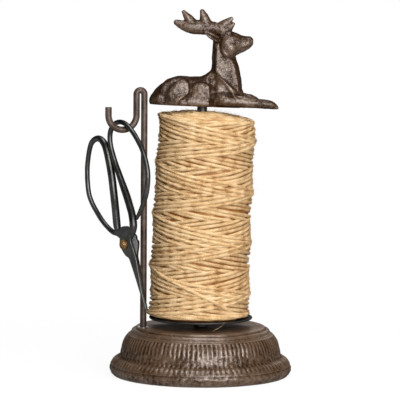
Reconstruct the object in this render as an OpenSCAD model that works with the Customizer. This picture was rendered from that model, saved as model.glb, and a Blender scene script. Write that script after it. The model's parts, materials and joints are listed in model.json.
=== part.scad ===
// String holder: a cast-iron table stand for a spool of twine, with a lying stag as its finial
// and a pair of scissors on a hook. Millimetres, +Z up. The origin is the centre of the base's foot,
// and the hook rod stands on the -X side.

/* [Base] */
// Widest diameter of the base, at its rim
base_d = 146; // [140:1:160]
// Height of the base from the floor to its flat top
base_h = 39; // [37:0.5:44]
// Diameter of the flat top
base_top_d = 106; // [102:1:112]
// Wall of the hollow casting
base_wall = 5; // [4:0.5:6]
// Flutes round the dome
flute_count = 104; // [80:1:110]
// Depth of a flute at its upper end
flute_depth = 0.7; // [0.4:0.1:0.8]

/* [Spindle and plate] */
// Diameter of the spindle rod
spindle_d = 5.5; // [5:0.1:6]
// Diameter of the dished plate
plate_d = 83; // [80:1:86]
// Sheet thickness of the plate
plate_t = 1.2; // [1:0.1:1.6]
// Rise of the plate's rim over its floor
plate_rise = 1.2; // [0.8:0.1:2.5]
// Width of the hexagon nuts across their flats
nut_af = 10; // [9:0.5:11]
// Height of the nuts
nut_h = 4; // [3.6:0.1:5]
// Diameter of the washers
washer_d = 14; // [13:0.5:16]
// Thickness of the washers
washer_t = 1.2; // [0.8:0.1:1.4]

/* [Twine] */
// Thickness of the twine
twine_d = 2.4; // [2:0.1:2.6]
// Diameter of the wound spool
spool_d = 78; // [74:1:79]
// Height of the wound spool
spool_h = 162.6; // [158:0.2:180]
// Outer diameter of the cardboard tube
tube_od = 14; // [13:0.5:18]
// Wall of the cardboard tube
tube_wall = 2; // [1.5:0.1:2]
// Turns of the outer layer, up and down together
winding_turns = 24; // [16:2:24]

/* [Stag] */
// Length of the stag from rump to hoof
stag_length = 103; // [98:1:106]
// Turn of the stag about the spindle, against the hook's plane
stag_heading = -16; // [-20:1:-10]
// Lean of the stag towards its hooves
stag_lean = 2.3; // [0:0.1:3]
// Outer diameter of the socket tube under the stag
socket_od = 8; // [7.6:0.1:9]
// Height of the gap between the twine and the stag
stag_gap = 8; // [7:0.5:10]

/* [Hook] */
// Diameter of the hook rod
hook_wire_d = 5.2; // [5:0.1:6]
// Distance of the rod from the spindle
hook_reach = 48; // [47.5:0.1:48.5]
// Radius of the hook's bend, to the middle of the rod
hook_bend = 11.5; // [11:0.1:12.5]
// Radius of the tight bend at the top, to the middle of the rod
hook_top_bend = 3.2; // [3.1:0.1:3.6]
// Top of the rod over the stag's underside
hook_over = 15; // [13:0.5:18]

/* [Scissors] */
// Length of the scissors over all
scissors_length = 153; // [148:1:154]
// Thickness of one blade
blade_t = 2.4; // [2:0.1:2.8]
// Diameter of the rivet
rivet_d = 4; // [3.6:0.1:4.4]
// Diameter of the rivet's washers
rivet_washer_d = 8.2; // [7.6:0.1:9]
// Thickness of the rivet's washers
rivet_washer_t = 0.8; // [0.6:0.1:1]
// Turn of the scissors' plane about the vertical
scissors_turn = -60; // [-64:1:-56]

/* [Hidden] */
$fn = 64;

iron = [0.27, 0.22, 0.19];
dark_steel = [0.10, 0.10, 0.10];
rod_steel = [0.36, 0.31, 0.27];
zinc = [0.68, 0.68, 0.66];
jute = [0.83, 0.67, 0.41];
card = [0.55, 0.44, 0.31];
brass = [0.62, 0.47, 0.24];

// Clearances
eps = 0.01;
run_clear = 0.05;    // radial, round a turning or pressed pin
bolt_clear = 0.15;   // radial, round a rod in the casting
face_clear = 0.1;    // between faces that turn on each other
soft_clear = 0.3;    // between twine and what it lies on
wire_clear = 0.5;    // between a scissor loop and the hook
self_clear = 0.5;    // between the two passes of the winding

// Base, from its rim in
base_r = base_d / 2;
top_r = base_top_d / 2;
rim_bead = 6.7;
rim_z = 6.6;
rim_inset = 0.6;
foot_r = base_r - 3.4;
foot_chamfer_z = 4.2;
dome_foot_r = base_r - 7.1;
dome_foot_z = rim_z + rim_bead - 0.1;
shoulder = 5.1;
shoulder_r = top_r + 9.5 - shoulder;
shoulder_z = base_h - 11.4;
dome_slope = atan((dome_foot_r - shoulder_r - shoulder) / (shoulder_z - dome_foot_z));
ring_bead = 1.9;
ring_r = top_r + 3.8 - ring_bead;
ring_z = base_h - 4.1;
top_bead = 1.6;
ceiling_z = base_h - base_wall;
boss_z = base_h - 12;
boss_r = 12;
hook_boss_r = 9;
hollow_step = 4;
hollow_drop = 3;

// Fluted skin of the dome: rows of [height, radius, share of the flutes' depth] from the rim up
flute_rows = [
    [rim_z + 3, dome_foot_r - 3, 0],
    [dome_foot_z + 0.8, dome_foot_r - 0.8 * tan(dome_slope), 0],
    [dome_foot_z + 5, dome_foot_r - 5 * tan(dome_slope), 0.6],
    [shoulder_z, shoulder_r + shoulder, 1],
    [shoulder_z + shoulder * sin(48), shoulder_r + shoulder * cos(48), 0.8],
    [shoulder_z + shoulder, shoulder_r, 0],
    [shoulder_z + shoulder, ring_r - 2, 0]
];
dome_inset = 1.2;        // of the plain casting behind the flutes

// Heights along the spindle
nut_r = nut_af / 2 / cos(30);
under_washer_z = boss_z - washer_t;
under_nut_z = under_washer_z - nut_h;
rod_tail = 3;
rod_foot_z = under_nut_z - rod_tail;
thrust_z = base_h + nut_h;
plate_z = thrust_z + washer_t + face_clear;
plate_floor_z = plate_z + plate_t;
plate_r = plate_d / 2;
plate_bead = 0.9;
plate_ramp = 5;
spool_z = plate_floor_z + soft_clear;
spool_top_z = spool_z + spool_h;
stag_z = spool_top_z + stag_gap;
seat_depth = 18;
seat_z = stag_z + seat_depth;
socket_drop = 6.5;
socket_bore_r = spindle_d / 2 + run_clear;

// Twine: the outer layer winds up and back down over the core
winding_gap = soft_clear + twine_d / 2;
core_r = spool_d / 2 - soft_clear - 2 * twine_d - self_clear;
core_round = 8;
core_round_z = spool_top_z - core_round - 3;
core_chamfer = 2;
tube_short = 2;
winding_low_z = plate_floor_z + plate_rise + twine_d / 2 + soft_clear + face_clear;
winding_high_z = core_round_z + 7;
rings_per_turn = 24;
twine_sides = 6;

// Hook
hook_x = -hook_reach;
hook_down_x = hook_x - 2 * hook_top_bend;
hook_mid_x = hook_down_x - hook_bend;
hook_top_z = stag_z + hook_over - hook_wire_d / 2 - hook_top_bend;
hook_drop = 16.5;
hook_bend_z = hook_top_z - hook_drop;
hook_tip_l = 6.5;
collar_w = 1.3;
collar_t = 0.8;

// Scissors, drawn in their own plane: [across, up, wire radius] from the rivet, as they hang
scissors_k = scissors_length / 153;
front_loop = [
    [6.5, 4, 2.4], [9.8, 11, 2.6], [9.8, 19, 2.5], [7.2, 26, 2.4], [3.4, 33.6, 2.4], [-1, 43.2, 2.4],
    [-6.1, 53.5, 2.4], [-9.9, 62, 2.3], [-13.7, 71.4, 2.3], [-15.8, 79, 2.2], [-15.4, 86, 2.2],
    [-11.2, 93.2, 2.1], [-4.4, 96, 2.1], [2.8, 93.6, 2.1], [8.5, 88.3, 2.1], [13.6, 81.5, 2.1],
    [18, 74, 2.1], [21.1, 65.5, 2.1], [22.7, 56, 2.1], [22.5, 46.4, 2.1], [20.5, 36.5, 2],
    [17.6, 28.7, 1.8], [15.2, 22, 1.3]
];
back_loop = [
    [-7.2, 4, 2.3], [-8.6, 9, 2.5], [-9, 15, 2.4], [-9.7, 23.7, 2.4], [-10.9, 33.2, 2.4],
    [-12.5, 42.7, 2.4], [-14.2, 52.2, 2.4], [-16.6, 61.6, 2.3], [-19.6, 71, 2.3], [-23.8, 79, 2.3],
    [-29.7, 82.1, 2.3], [-35, 78.4, 2.3], [-38.3, 70, 2.3], [-39.8, 57.2, 2.2], [-39.4, 46.3, 2.2],
    [-36.7, 35, 2.2], [-31.7, 25, 2.2], [-25.1, 16.6, 2.2], [-18, 10.4, 2.3], [-14.6, 8, 2.3]
];
front_blade = [
    [7.4, 14], [12.2, 13], [12, 7], [9.6, 2], [9.4, -6], [11.2, -15], [14.3, -28], [17.8, -42],
    [21.9, -55], [15.3, -42.4], [10, -27.4], [4.7, -14.9], [0.5, -10.6], [-1.8, -7.6], [-5, -4],
    [-6.4, 1], [-4.6, 6], [1, 10]
];
back_blade = [
    [-6.6, 12], [0, 9.4], [8, 8.4], [12.6, 5.6], [13.8, -4.8], [15, -16.8], [17.2, -28.6], [19.3, -42],
    [21.4, -53.6], [15.8, -42], [11.2, -27.4], [6.6, -14.9], [0.8, -8], [-5, -5], [-9.6, -0.6],
    [-15.6, 5.6], [-16.4, 9.6], [-11.4, 11.6]
];
hang = [front_loop[12][0], front_loop[12][1]] * scissors_k;
loop_lift = hook_wire_d / 2 + front_loop[12][2] + wire_clear;
rivet_z = hook_bend_z - hook_bend + loop_lift - hang[1];
rivet_x = hook_mid_x - hang[0] * cos(scissors_turn);
rivet_y = -hang[0] * sin(scissors_turn);
plate_gap = face_clear / 2;
loop_offset = 2.7;       // of the shanks from the blades' shared face, at the rivet
loop_level_low = 15;     // the shanks come together between these heights
loop_level_high = 42;
bevel_w = 2.6;
bevel_angle = 35;
bevel_past = 8;          // run of the bevel past the blade's tip
rivet_head_r = 2.9;
rivet_head_h = 1.6;
rivet_head_taper = 1.1;

// Stag: stations along each form, in the stag's own frame with the spindle at x = 0
stag_k = stag_length / 103;
body_stations = [                       // [x, middle height, half height, half width]
    [-42.6, 2, 1.2, 4], [-40.5, 2.5, 5.2, 9], [-36, 4, 9.6, 13.5], [-29.7, 5.5, 13, 16],
    [-21, 7, 15.7, 16.5], [-10, 7.5, 15.2, 15.5], [0, 8, 16, 14.5], [10, 9, 17, 14],
    [20, 9, 15, 13.5], [27, 8.5, 11.5, 11.5], [31.3, 7.5, 7, 8], [33.2, 7, 2, 3]
];
neck_stations = [                       // [height, middle x, half length, half width]
    [9, 17.5, 13.9, 12.5], [17, 18, 13, 11.6], [25, 18, 11.6, 10], [32, 17.5, 10.2, 8.6],
    [39, 16, 9, 7.4], [46, 15, 8.2, 6.8], [53, 14, 7.6, 6.6], [58, 14, 5.5, 5]
];
head_stations = [                       // [x, middle height, half height, half width]
    [6.5, 52.5, 2.5, 3], [9.5, 51.8, 6.6, 6.6], [14.5, 51, 9, 8.8], [19, 50.6, 9.8, 9.2],
    [24, 50.2, 9, 8], [28.5, 50, 7, 6.2], [32.5, 51, 5.4, 5.2], [36, 52.3, 4, 4.5], [38, 53, 1.8, 2.4]
];
near_leg = [                            // [x, y, z, half height, half width]
    [10, -10, 5.5, 4.5, 3.5], [18, -11, 5, 4.8, 4.2], [28, -11.3, 4.4, 4.2, 3.8], [38, -11, 3.8, 3.6, 3.4],
    [47, -10.8, 3.3, 3.1, 3.2], [53.5, -10.6, 3.2, 3.2, 3.4], [58, -10.5, 2.2, 2.2, 2.8],
    [60.6, -10.5, 1.1, 0.8, 1.4]
];
far_leg = [
    [10, 10, 6.5, 4.5, 3.5], [18, 10.8, 6.2, 4.8, 4], [27, 11, 6, 4, 3.6], [35, 11, 5.6, 3.3, 3.2],
    [40.5, 10.8, 5.2, 3.1, 3.2], [44, 10.8, 4.4, 2.2, 2.6], [46, 10.8, 3.6, 0.8, 1.4]
];
hind_foot = [
    [-27, 14, 3.8, 3.6, 2.6], [-20, 15.8, 4, 4.2, 3.2], [-12, 16.4, 3.6, 3.9, 3.3], [-4, 16, 3, 3.4, 3],
    [2, 15.2, 2.6, 2.6, 2.6], [5.4, 14.8, 2, 1, 1.4]
];
antler = [                              // [[x, y, z], ball radius] along the beam
    [[18, 4.2, 59], 3.4], [[8, 5.6, 62.6], 3.8], [[-2, 6.6, 62.8], 4], [[-10, 7.2, 62], 4.2],
    [[-18, 7.6, 63.4], 3.2], [[-24, 8, 66], 1.7]
];
tines = [                               // root ball, tip ball
    [[[-10, 7.2, 65], 3.2], [[-17, 8, 75], 1.6]],
    [[[0.5, 6.4, 66], 3.8], [[-2.4, 7.2, 75.8], 1.6]],
    [[[14, 4.8, 63], 3.2], [[20.4, 6.2, 71.6], 1.5]],
    [[[17, 4.6, 61.6], 3.2], [[21.6, 6.4, 67], 1.4]]
];
ear = [[[9, 7, 53.6], 2.4], [[3.5, 9.6, 56.4], 2.5], [[-1.6, 11.2, 58.4], 0.9]];

// Shared shapes

function unit(v) = v / norm(v);

// A smooth curve through the points p, as many numbers wide as they are
function curve_at(p, i, t) =
    let (last = len(p) - 1,
         a = p[max(i - 1, 0)], b = p[i], c = p[min(i + 1, last)], d = p[min(i + 2, last)])
    0.5 * (2 * b + (c - a) * t + (2 * a - 5 * b + 4 * c - d) * t * t
           + (3 * b - a - 3 * c + d) * t * t * t);
function curve(p, steps) =
    [for (i = [0:len(p) - 2]) for (j = [0:steps - 1]) curve_at(p, i, j / steps), p[len(p) - 1]];

// A closed solid through rings of points, each ring counter-clockwise about the way on
module skin(rings) {
    n = len(rings[0]);
    m = len(rings);
    points = [for (ring = rings) each ring];
    sides = [for (i = [0:m - 2]) for (j = [0:n - 1])
        let (k = (j + 1) % n)
        each [[i * n + j, (i + 1) * n + j, (i + 1) * n + k], [i * n + j, (i + 1) * n + k, i * n + k]]];
    start = [for (j = [1:n - 2]) [0, j, j + 1]];
    finish = [for (j = [1:n - 2]) [(m - 1) * n, (m - 1) * n + j + 1, (m - 1) * n + j]];
    polyhedron(points, concat(sides, start, finish));
}

// A round tube along points [x, y, z, radius], its sections kept upright to the direction up
module tube_along(path, sides) {
    last = len(path) - 1;
    place = [for (p = path) [p[0], p[1], p[2]]];
    rings = [for (i = [0:last])
        let (way = unit(place[min(i + 1, last)] - place[max(i - 1, 0)]),
             across = unit(cross(way, [0, 0, 1])),
             up = cross(across, way))
        [for (j = [0:sides - 1])
            let (a = 360 * j / sides)
            place[i] + path[i][3] * (cos(a) * up + sin(a) * cross(way, up))]];
    skin(rings);
}

// A form with oval sections square to X, from [x, y, z, half height, half width]
module oval_form(stations, sides, steps) {
    skin([for (s = curve(stations, steps))
        [for (j = [0:sides - 1])
            let (a = 360 * j / sides)
            [s[0], s[1] + s[4] * cos(a), s[2] + s[3] * sin(a)]]]);
}

module ball_chain(balls) {
    for (i = [0:len(balls) - 2])
        hull() {
            translate(balls[i][0]) sphere(balls[i][1], $fn = 14);
            translate(balls[i + 1][0]) sphere(balls[i + 1][1], $fn = 14);
        }
}

module ring_disc(r, bore_r, h) {
    difference() {
        cylinder(r = r, h = h);
        translate([0, 0, -1]) cylinder(r = bore_r, h = h + 2);
    }
}

module hex_nut(bore_d) {
    difference() {
        cylinder(r = nut_r, h = nut_h, $fn = 6);
        translate([0, 0, -1]) cylinder(d = bore_d + 2 * run_clear, h = nut_h + 2);
    }
}

module at_hook() {
    translate([hook_x, 0, 0]) children();
}

module at_rivet() {
    translate([rivet_x, rivet_y, rivet_z]) rotate([90, 0, scissors_turn]) children();
}

// Base

module base_outline() {
    polygon([[0, 0], [foot_r, 0], [base_r - rim_inset, foot_chamfer_z], [base_r - rim_inset, rim_z],
             [0, rim_z]]);
    translate([base_r - rim_bead, rim_z]) circle(rim_bead - eps);
    polygon([[0, rim_z - 1], [base_r - rim_bead, rim_z - 1], [dome_foot_r - dome_inset, dome_foot_z],
             [shoulder_r + shoulder - dome_inset, shoulder_z],
             [shoulder_r, shoulder_z + shoulder - dome_inset], [0, shoulder_z + shoulder - dome_inset]]);
    translate([0, ring_z - ring_bead - 3]) square([ring_r, 2 * ring_bead + 3]);
    translate([ring_r, ring_z]) circle(ring_bead);
    translate([0, base_h - 4]) square([top_r - top_bead, 4]);
    translate([top_r - top_bead, base_h - top_bead]) circle(top_bead);
}

module base_hollow() {
    polygon([[0, -1], [foot_r - base_wall, -1], [foot_r - base_wall, 0],
             [dome_foot_r - base_wall, dome_foot_z], [shoulder_r + shoulder - base_wall, shoulder_z],
             [shoulder_r - hollow_step, ceiling_z - hollow_drop],
             [shoulder_r - hollow_step - base_wall, ceiling_z], [0, ceiling_z]]);
}

// The dome's outside, with a ridge and a valley for each flute
module fluted_dome() {
    skin([for (row = flute_rows)
        [for (j = [0:2 * flute_count - 1])
            let (a = 180 * j / flute_count,
                 r = row[1] - (j % 2) * row[2] * flute_depth)
            [r * cos(a), r * sin(a), row[0]]]]);
}

module base() {
    color(iron)
        difference() {
            union() {
                rotate_extrude()
                    intersection() {
                        base_outline();
                        square([base_r + 1, base_h + 1]);
                    }
                fluted_dome();
            }
            difference() {
                rotate_extrude() base_hollow();
                translate([0, 0, boss_z]) cylinder(r = boss_r, h = base_h);
                at_hook() translate([0, 0, boss_z]) cylinder(r = hook_boss_r, h = base_h);
            }
            translate([0, 0, boss_z - 1])
                cylinder(r = spindle_d / 2 + bolt_clear, h = base_h - boss_z + 2);
            at_hook() translate([0, 0, boss_z - 1])
                cylinder(r = hook_wire_d / 2 + bolt_clear, h = base_h - boss_z + 2);
        }
}

// Spindle, its nuts and the plate

module spindle() {
    tip = 0.8;           // its chamfer
    color(rod_steel) {
        translate([0, 0, rod_foot_z]) cylinder(d = spindle_d, h = seat_z - tip - rod_foot_z);
        translate([0, 0, seat_z - tip]) cylinder(d1 = spindle_d, d2 = spindle_d - 2 * tip, h = tip);
    }
}

module spindle_washer() {
    color(zinc) translate([0, 0, under_washer_z])
        ring_disc(washer_d / 2, spindle_d / 2 + run_clear, washer_t);
}

module spindle_nut() {
    color(zinc) translate([0, 0, under_nut_z]) hex_nut(spindle_d);
}

module jam_nut() {
    color(dark_steel) translate([0, 0, base_h]) hex_nut(spindle_d);
}

module thrust_washer() {
    color(dark_steel) translate([0, 0, thrust_z])
        ring_disc(washer_d / 2, spindle_d / 2 + run_clear, washer_t);
}

module spool_plate() {
    bore_r = spindle_d / 2 + run_clear;
    rim_r = plate_r - plate_bead;
    color(dark_steel)
        translate([0, 0, plate_z])
            rotate_extrude() {
                polygon([[bore_r, 0], [rim_r - plate_ramp, 0], [rim_r, plate_rise],
                         [rim_r, plate_rise + plate_t], [rim_r - plate_ramp, plate_t], [bore_r, plate_t]]);
                translate([rim_r, plate_rise + plate_t / 2]) circle(plate_bead);
            }
}

// Twine

module twine_tube() {
    color(card)
        translate([0, 0, spool_z]) ring_disc(tube_od / 2, tube_od / 2 - tube_wall, spool_h - tube_short);
}

module twine_core() {
    bore_r = tube_od / 2 + run_clear;
    color(jute)
        rotate_extrude() {
            polygon([[bore_r, spool_z], [core_r - core_chamfer, spool_z], [core_r, spool_z + core_chamfer],
                     [core_r, core_round_z], [core_r - core_round, core_round_z + core_round],
                     [bore_r, core_round_z + core_round]]);
            translate([core_r - core_round, core_round_z]) circle(core_round);
        }
}

// Radius of the winding's middle at height z, lying off over the core
function winding_r(z, off) =
    z < core_round_z ? core_r + off
                     : core_r - core_round + sqrt(pow(core_round + off, 2) - pow(z - core_round_z, 2));
function ease(t) = let (s = min(max(t, 0), 1)) s * s * (3 - 2 * s);

// Place on the winding after so many turns: up on the inner pass, over, and down on the outer pass
function winding_at(turn) =
    let (half = winding_turns / 2,
         climb = 1 - abs(turn - half) / half,
         off = winding_gap + (twine_d + self_clear) * ease(turn - half + 0.5),
         z = winding_low_z + (winding_high_z - winding_low_z) * climb,
         r = winding_r(z, off))
    [r * cos(360 * turn), r * sin(360 * turn), z];

function winding_path() =
    let (inner = [for (i = [0:winding_turns * rings_per_turn]) winding_at(i / rings_per_turn)],
         last = len(inner) - 1,
         start = inner[0] + twine_d * unit(inner[0] - inner[1]),
         finish = inner[last] + twine_d * unit(inner[last] - inner[last - 1]))
    concat([start], inner, [finish]);

module twine_winding() {
    path = winding_path();
    last = len(path) - 1;
    own_gap = min([for (i = [0:last]) for (j = [i + rings_per_turn / 2:last])
        norm(path[i] - path[j])]) - twine_d;
    echo(winding_gap_to_itself = own_gap);
    color(jute)
        skin([for (i = [0:last])
            let (way = unit(path[min(i + 1, last)] - path[max(i - 1, 0)]),
                 out = unit([path[i][0], path[i][1], 0]),
                 side = unit(cross(way, out)),
                 face = cross(side, way))
            [for (j = [0:twine_sides - 1])
                let (a = 360 * j / twine_sides)
                path[i] + twine_d / 2 * (cos(a) * face + sin(a) * side)]]);
}

// Stag

module mirrored() {
    children();
    mirror([0, 1, 0]) children();
}

module stag_trunk() {
    oval_form([for (s = body_stations) [s[0], 0, s[1], s[2], s[3]]], 22, 2);
    skin([for (s = curve(neck_stations, 2))
        [for (j = [0:19]) [s[1] + s[2] * cos(18 * j), s[3] * sin(18 * j), s[0]]]]);
    oval_form([for (s = head_stations) [s[0], 0, s[1], s[2], s[3]]], 20, 2);
}

module stag_legs() {
    oval_form(near_leg, 14, 2);
    oval_form(far_leg, 14, 2);
    mirrored() oval_form(hind_foot, 14, 2);
    mirrored() translate([-23, 10.5, 10.5]) rotate([0, -25, 0]) scale([13, 7, 10]) sphere(1, $fn = 18);
    mirrored() translate([15, 9, 13]) rotate([0, 20, 0]) scale([7.5, 5.6, 11.5]) sphere(1, $fn = 18);
}

module stag_antlers() {
    mirrored() {
        ball_chain(antler);
        for (tine = tines) ball_chain(tine);
        ball_chain(ear);
    }
}

module deer() {
    hole_r = socket_od / 2 + run_clear;
    color(iron)
        translate([0, 0, stag_z])
            rotate([0, 0, stag_heading])
                difference() {
                    rotate([0, stag_lean, 0])
                        scale(stag_k)
                            intersection() {
                                union() {
                                    stag_trunk();
                                    stag_legs();
                                    stag_antlers();
                                }
                                translate([-100, -50, 0]) cube([200, 100, 100]);
                            }
                    translate([0, 0, -10]) cylinder(r = hole_r, h = seat_depth + 10, $fn = 48);
                }
}

module finial_socket() {
    color(dark_steel)
        translate([0, 0, stag_z - socket_drop])
            ring_disc(socket_od / 2, socket_bore_r, seat_depth + socket_drop);
}

// Hook

module hook_bar(l) {
    cylinder(d = hook_wire_d, h = l);
}

// Half a turn of the rod about the Y axis through its middle, from +X over the top to -X
module hook_half_turn(bend) {
    rotate([90, 0, 0]) rotate_extrude(angle = 180) translate([bend, 0]) circle(d = hook_wire_d);
}

module hook_rod() {
    color(rod_steel) {
        translate([hook_x, 0, rod_foot_z]) hook_bar(hook_top_z - rod_foot_z);
        translate([hook_x - hook_top_bend, 0, hook_top_z]) hook_half_turn(hook_top_bend);
        translate([hook_down_x, 0, hook_bend_z]) hook_bar(hook_drop);
        translate([hook_mid_x, 0, hook_bend_z]) rotate([0, 180, 0]) hook_half_turn(hook_bend);
        translate([hook_mid_x - hook_bend, 0, hook_bend_z]) hook_bar(hook_tip_l);
    }
}

module hook_collar() {
    color(zinc) at_hook() translate([0, 0, base_h])
        ring_disc(hook_wire_d / 2 + collar_w, hook_wire_d / 2 + run_clear, collar_t);
}

module hook_washer() {
    color(zinc) at_hook() translate([0, 0, under_washer_z])
        ring_disc(washer_d / 2, hook_wire_d / 2 + run_clear, washer_t);
}

module hook_nut() {
    color(zinc) at_hook() translate([0, 0, under_nut_z]) hex_nut(hook_wire_d);
}

// Scissors

// A loop's wire, its shank lying off to one side at the rivet and level with the other above
module scissor_loop(points, side) {
    span = loop_level_high - loop_level_low;
    tube_along([for (p = curve(points, 2))
        [p[0] * scissors_k, p[1] * scissors_k,
         side * loop_offset * (1 - ease((p[1] - loop_level_low) / span)), p[2]]], 10);
}

// A blade's plate, ground down along its cutting edge from edge_low to edge_high
module scissor_blade(outline, edge_low, edge_high) {
    way = unit(edge_high - edge_low);
    difference() {
        linear_extrude(blade_t) polygon(outline * scissors_k);
        translate([edge_low[0], edge_low[1], 0] * scissors_k + [0, 0, blade_t])
            rotate([0, 0, atan2(way[1], way[0])])
                translate([-bevel_past, bevel_w, 0])
                    rotate([bevel_angle, 0, 0])
                        translate([0, -4 * bevel_w, 0])
                            cube([norm(edge_high - edge_low) * scissors_k + bevel_past, 4 * bevel_w,
                                  2 * blade_t]);
    }
}

module rivet_hole() {
    reach = 4 * blade_t;
    translate([0, 0, -reach]) cylinder(r = rivet_d / 2 + run_clear, h = 2 * reach);
}

module scissor_front() {
    color(dark_steel)
        at_rivet()
            difference() {
                union() {
                    translate([0, 0, plate_gap]) scissor_blade(front_blade, front_blade[8], front_blade[4]);
                    scissor_loop(front_loop, 1);
                }
                rivet_hole();
            }
}

module scissor_back() {
    color(dark_steel)
        at_rivet()
            difference() {
                union() {
                    translate([0, 0, -plate_gap - blade_t])
                        linear_extrude(blade_t) polygon(back_blade * scissors_k);
                    scissor_loop(back_loop, -1);
                }
                rivet_hole();
            }
}

module scissor_rivet() {
    low = -plate_gap - blade_t - face_clear - rivet_washer_t;
    high = plate_gap + blade_t + rivet_washer_t;
    color(brass)
        at_rivet() {
            translate([0, 0, low]) cylinder(d = rivet_d, h = high - low);
            translate([0, 0, high])
                cylinder(r1 = rivet_head_r, r2 = rivet_head_r - rivet_head_taper, h = rivet_head_h);
            translate([0, 0, low - rivet_head_h])
                cylinder(r1 = rivet_head_r - rivet_head_taper, r2 = rivet_head_r, h = rivet_head_h);
        }
}

module rivet_washer_front() {
    color(brass) at_rivet() translate([0, 0, plate_gap + blade_t])
        ring_disc(rivet_washer_d / 2, rivet_d / 2 + run_clear, rivet_washer_t);
}

module rivet_washer_back() {
    color(brass) at_rivet() translate([0, 0, -plate_gap - blade_t - face_clear - rivet_washer_t])
        ring_disc(rivet_washer_d / 2, rivet_d / 2 + run_clear, rivet_washer_t);
}

base();
spindle();
spindle_washer();
spindle_nut();
jam_nut();
thrust_washer();
spool_plate();
twine_tube();
twine_core();
twine_winding();
deer();
finial_socket();
hook_rod();
hook_collar();
hook_washer();
hook_nut();
scissor_front();
scissor_back();
scissor_rivet();
rivet_washer_front();
rivet_washer_back();
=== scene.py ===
"""The looks of a string holder: waxed cast iron, wound jute twine, black forged scissors and browned rod,
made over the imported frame. Sizes are in millimetres until a mesh is placed, which is in metres."""

import json
import math

import bmesh
import bpy
import numpy as np
from mathutils import Matrix, Vector, noise


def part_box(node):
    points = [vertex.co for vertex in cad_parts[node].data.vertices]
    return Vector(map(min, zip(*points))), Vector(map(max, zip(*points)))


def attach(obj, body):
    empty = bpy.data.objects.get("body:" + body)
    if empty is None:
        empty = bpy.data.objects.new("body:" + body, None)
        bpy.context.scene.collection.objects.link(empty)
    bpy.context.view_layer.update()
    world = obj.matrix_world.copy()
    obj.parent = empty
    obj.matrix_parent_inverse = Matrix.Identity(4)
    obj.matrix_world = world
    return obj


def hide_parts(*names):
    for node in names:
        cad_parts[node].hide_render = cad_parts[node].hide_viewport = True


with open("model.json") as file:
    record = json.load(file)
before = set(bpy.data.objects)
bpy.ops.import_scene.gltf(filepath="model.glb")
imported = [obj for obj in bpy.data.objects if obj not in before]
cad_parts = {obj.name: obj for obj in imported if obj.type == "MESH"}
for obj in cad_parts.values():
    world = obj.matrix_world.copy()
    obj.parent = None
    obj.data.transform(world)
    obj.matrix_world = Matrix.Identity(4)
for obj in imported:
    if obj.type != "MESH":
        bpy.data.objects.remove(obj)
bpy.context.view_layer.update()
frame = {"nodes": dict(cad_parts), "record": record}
mm = 0.001
scene = bpy.context.scene

# Where the photograph was taken from, round the spindle
VIEW_AZIMUTH = -17.2
FRONT = math.radians(VIEW_AZIMUTH - 90)   # the direction from the spindle to the camera


def place_camera(distance, height, pitch, turn, roll, lens):
    """Looks at the object from so many metres off and up, pitched down, turned and rolled by degrees."""
    camera = bpy.data.objects.new("camera", bpy.data.cameras.new("camera"))
    scene.collection.objects.link(camera)
    camera.data.lens = lens
    camera.data.sensor_width = 36
    camera.data.clip_end = 20
    azimuth = math.radians(VIEW_AZIMUTH)
    camera.matrix_world = (
        Matrix.Translation((distance * math.sin(azimuth), -distance * math.cos(azimuth), height))
        @ Matrix.Rotation(azimuth + math.radians(turn), 4, "Z")
        @ Matrix.Rotation(math.radians(90 - pitch), 4, "X")
        @ Matrix.Rotation(math.radians(roll), 4, "Z"))
    scene.camera = camera


place_camera(distance=2.0, height=0.3158, pitch=5.007, turn=0.035, roll=0.411, lens=225.6)


# Materials

PLY_TURN = 7             # length of strand in which its plies turn once round it
PLY_WAVES = 1.25664      # scale of the wave that gives two plies to each of those turns


def linear(colour):
    """An sRGB hex value as linear red, green, blue and alpha."""
    parts = [int(colour[i:i + 2], 16) / 255 for i in (1, 3, 5)]
    return tuple(c / 12.92 if c <= 0.04045 else ((c + 0.055) / 1.055) ** 2.4 for c in parts) + (1.0,)


def add(tree, kind, sockets=None, **settings):
    """Adds a node: settings are its own, and sockets gives each input a value or the output it is fed by."""
    made = tree.nodes.new("ShaderNode" + kind)
    for name, value in settings.items():
        setattr(made, name, value)
    for name, value in (sockets or {}).items():
        if isinstance(value, bpy.types.NodeSocket):
            tree.links.new(value, made.inputs[name])
        else:
            made.inputs[name].default_value = value
    return made


def new_material(name, **sockets):
    """A material, its node tree, its one principled shader and the place on the object that it shades."""
    made = bpy.data.materials.new(name)
    made.use_nodes = True
    tree = made.node_tree
    shader = tree.nodes["Principled BSDF"]
    for socket, value in sockets.items():
        shader.inputs[socket.replace("_", " ")].default_value = value
    return made, tree, shader, add(tree, "TexCoord").outputs["Object"]


def grain(tree, place, size, detail, roughness=0.5):
    """A noise with features of about a given size in millimetres."""
    made = add(tree, "TexNoise", {"Vector": place, "Scale": 1 / (size * mm), "Detail": detail,
                                  "Roughness": roughness})
    return made.outputs["Fac"]


def streaks(tree, place, sizes, detail):
    """A noise with features of a size of its own along each axis."""
    drawn = add(tree, "Mapping", {"Vector": place, "Scale": [1 / (size * mm) for size in sizes]})
    made = add(tree, "TexNoise", {"Vector": drawn.outputs["Vector"], "Scale": 1.0, "Detail": detail})
    return made.outputs["Fac"]


def plus(tree, value, factor, base):
    """A value times a factor, added to a base."""
    return add(tree, "Math", {0: value, 1: factor, 2: base}, operation="MULTIPLY_ADD").outputs[0]


def most(tree, a, b):
    """The greater of two values."""
    return add(tree, "Math", {0: a, 1: b}, operation="MAXIMUM").outputs[0]


def ranged(tree, value, start, end, low, high):
    """What runs from start to end, made to run from low to high and held there."""
    made = add(tree, "MapRange", {"Value": value, "From Min": start, "From Max": end, "To Min": low,
                                  "To Max": high})
    return made.outputs["Result"]


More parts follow.
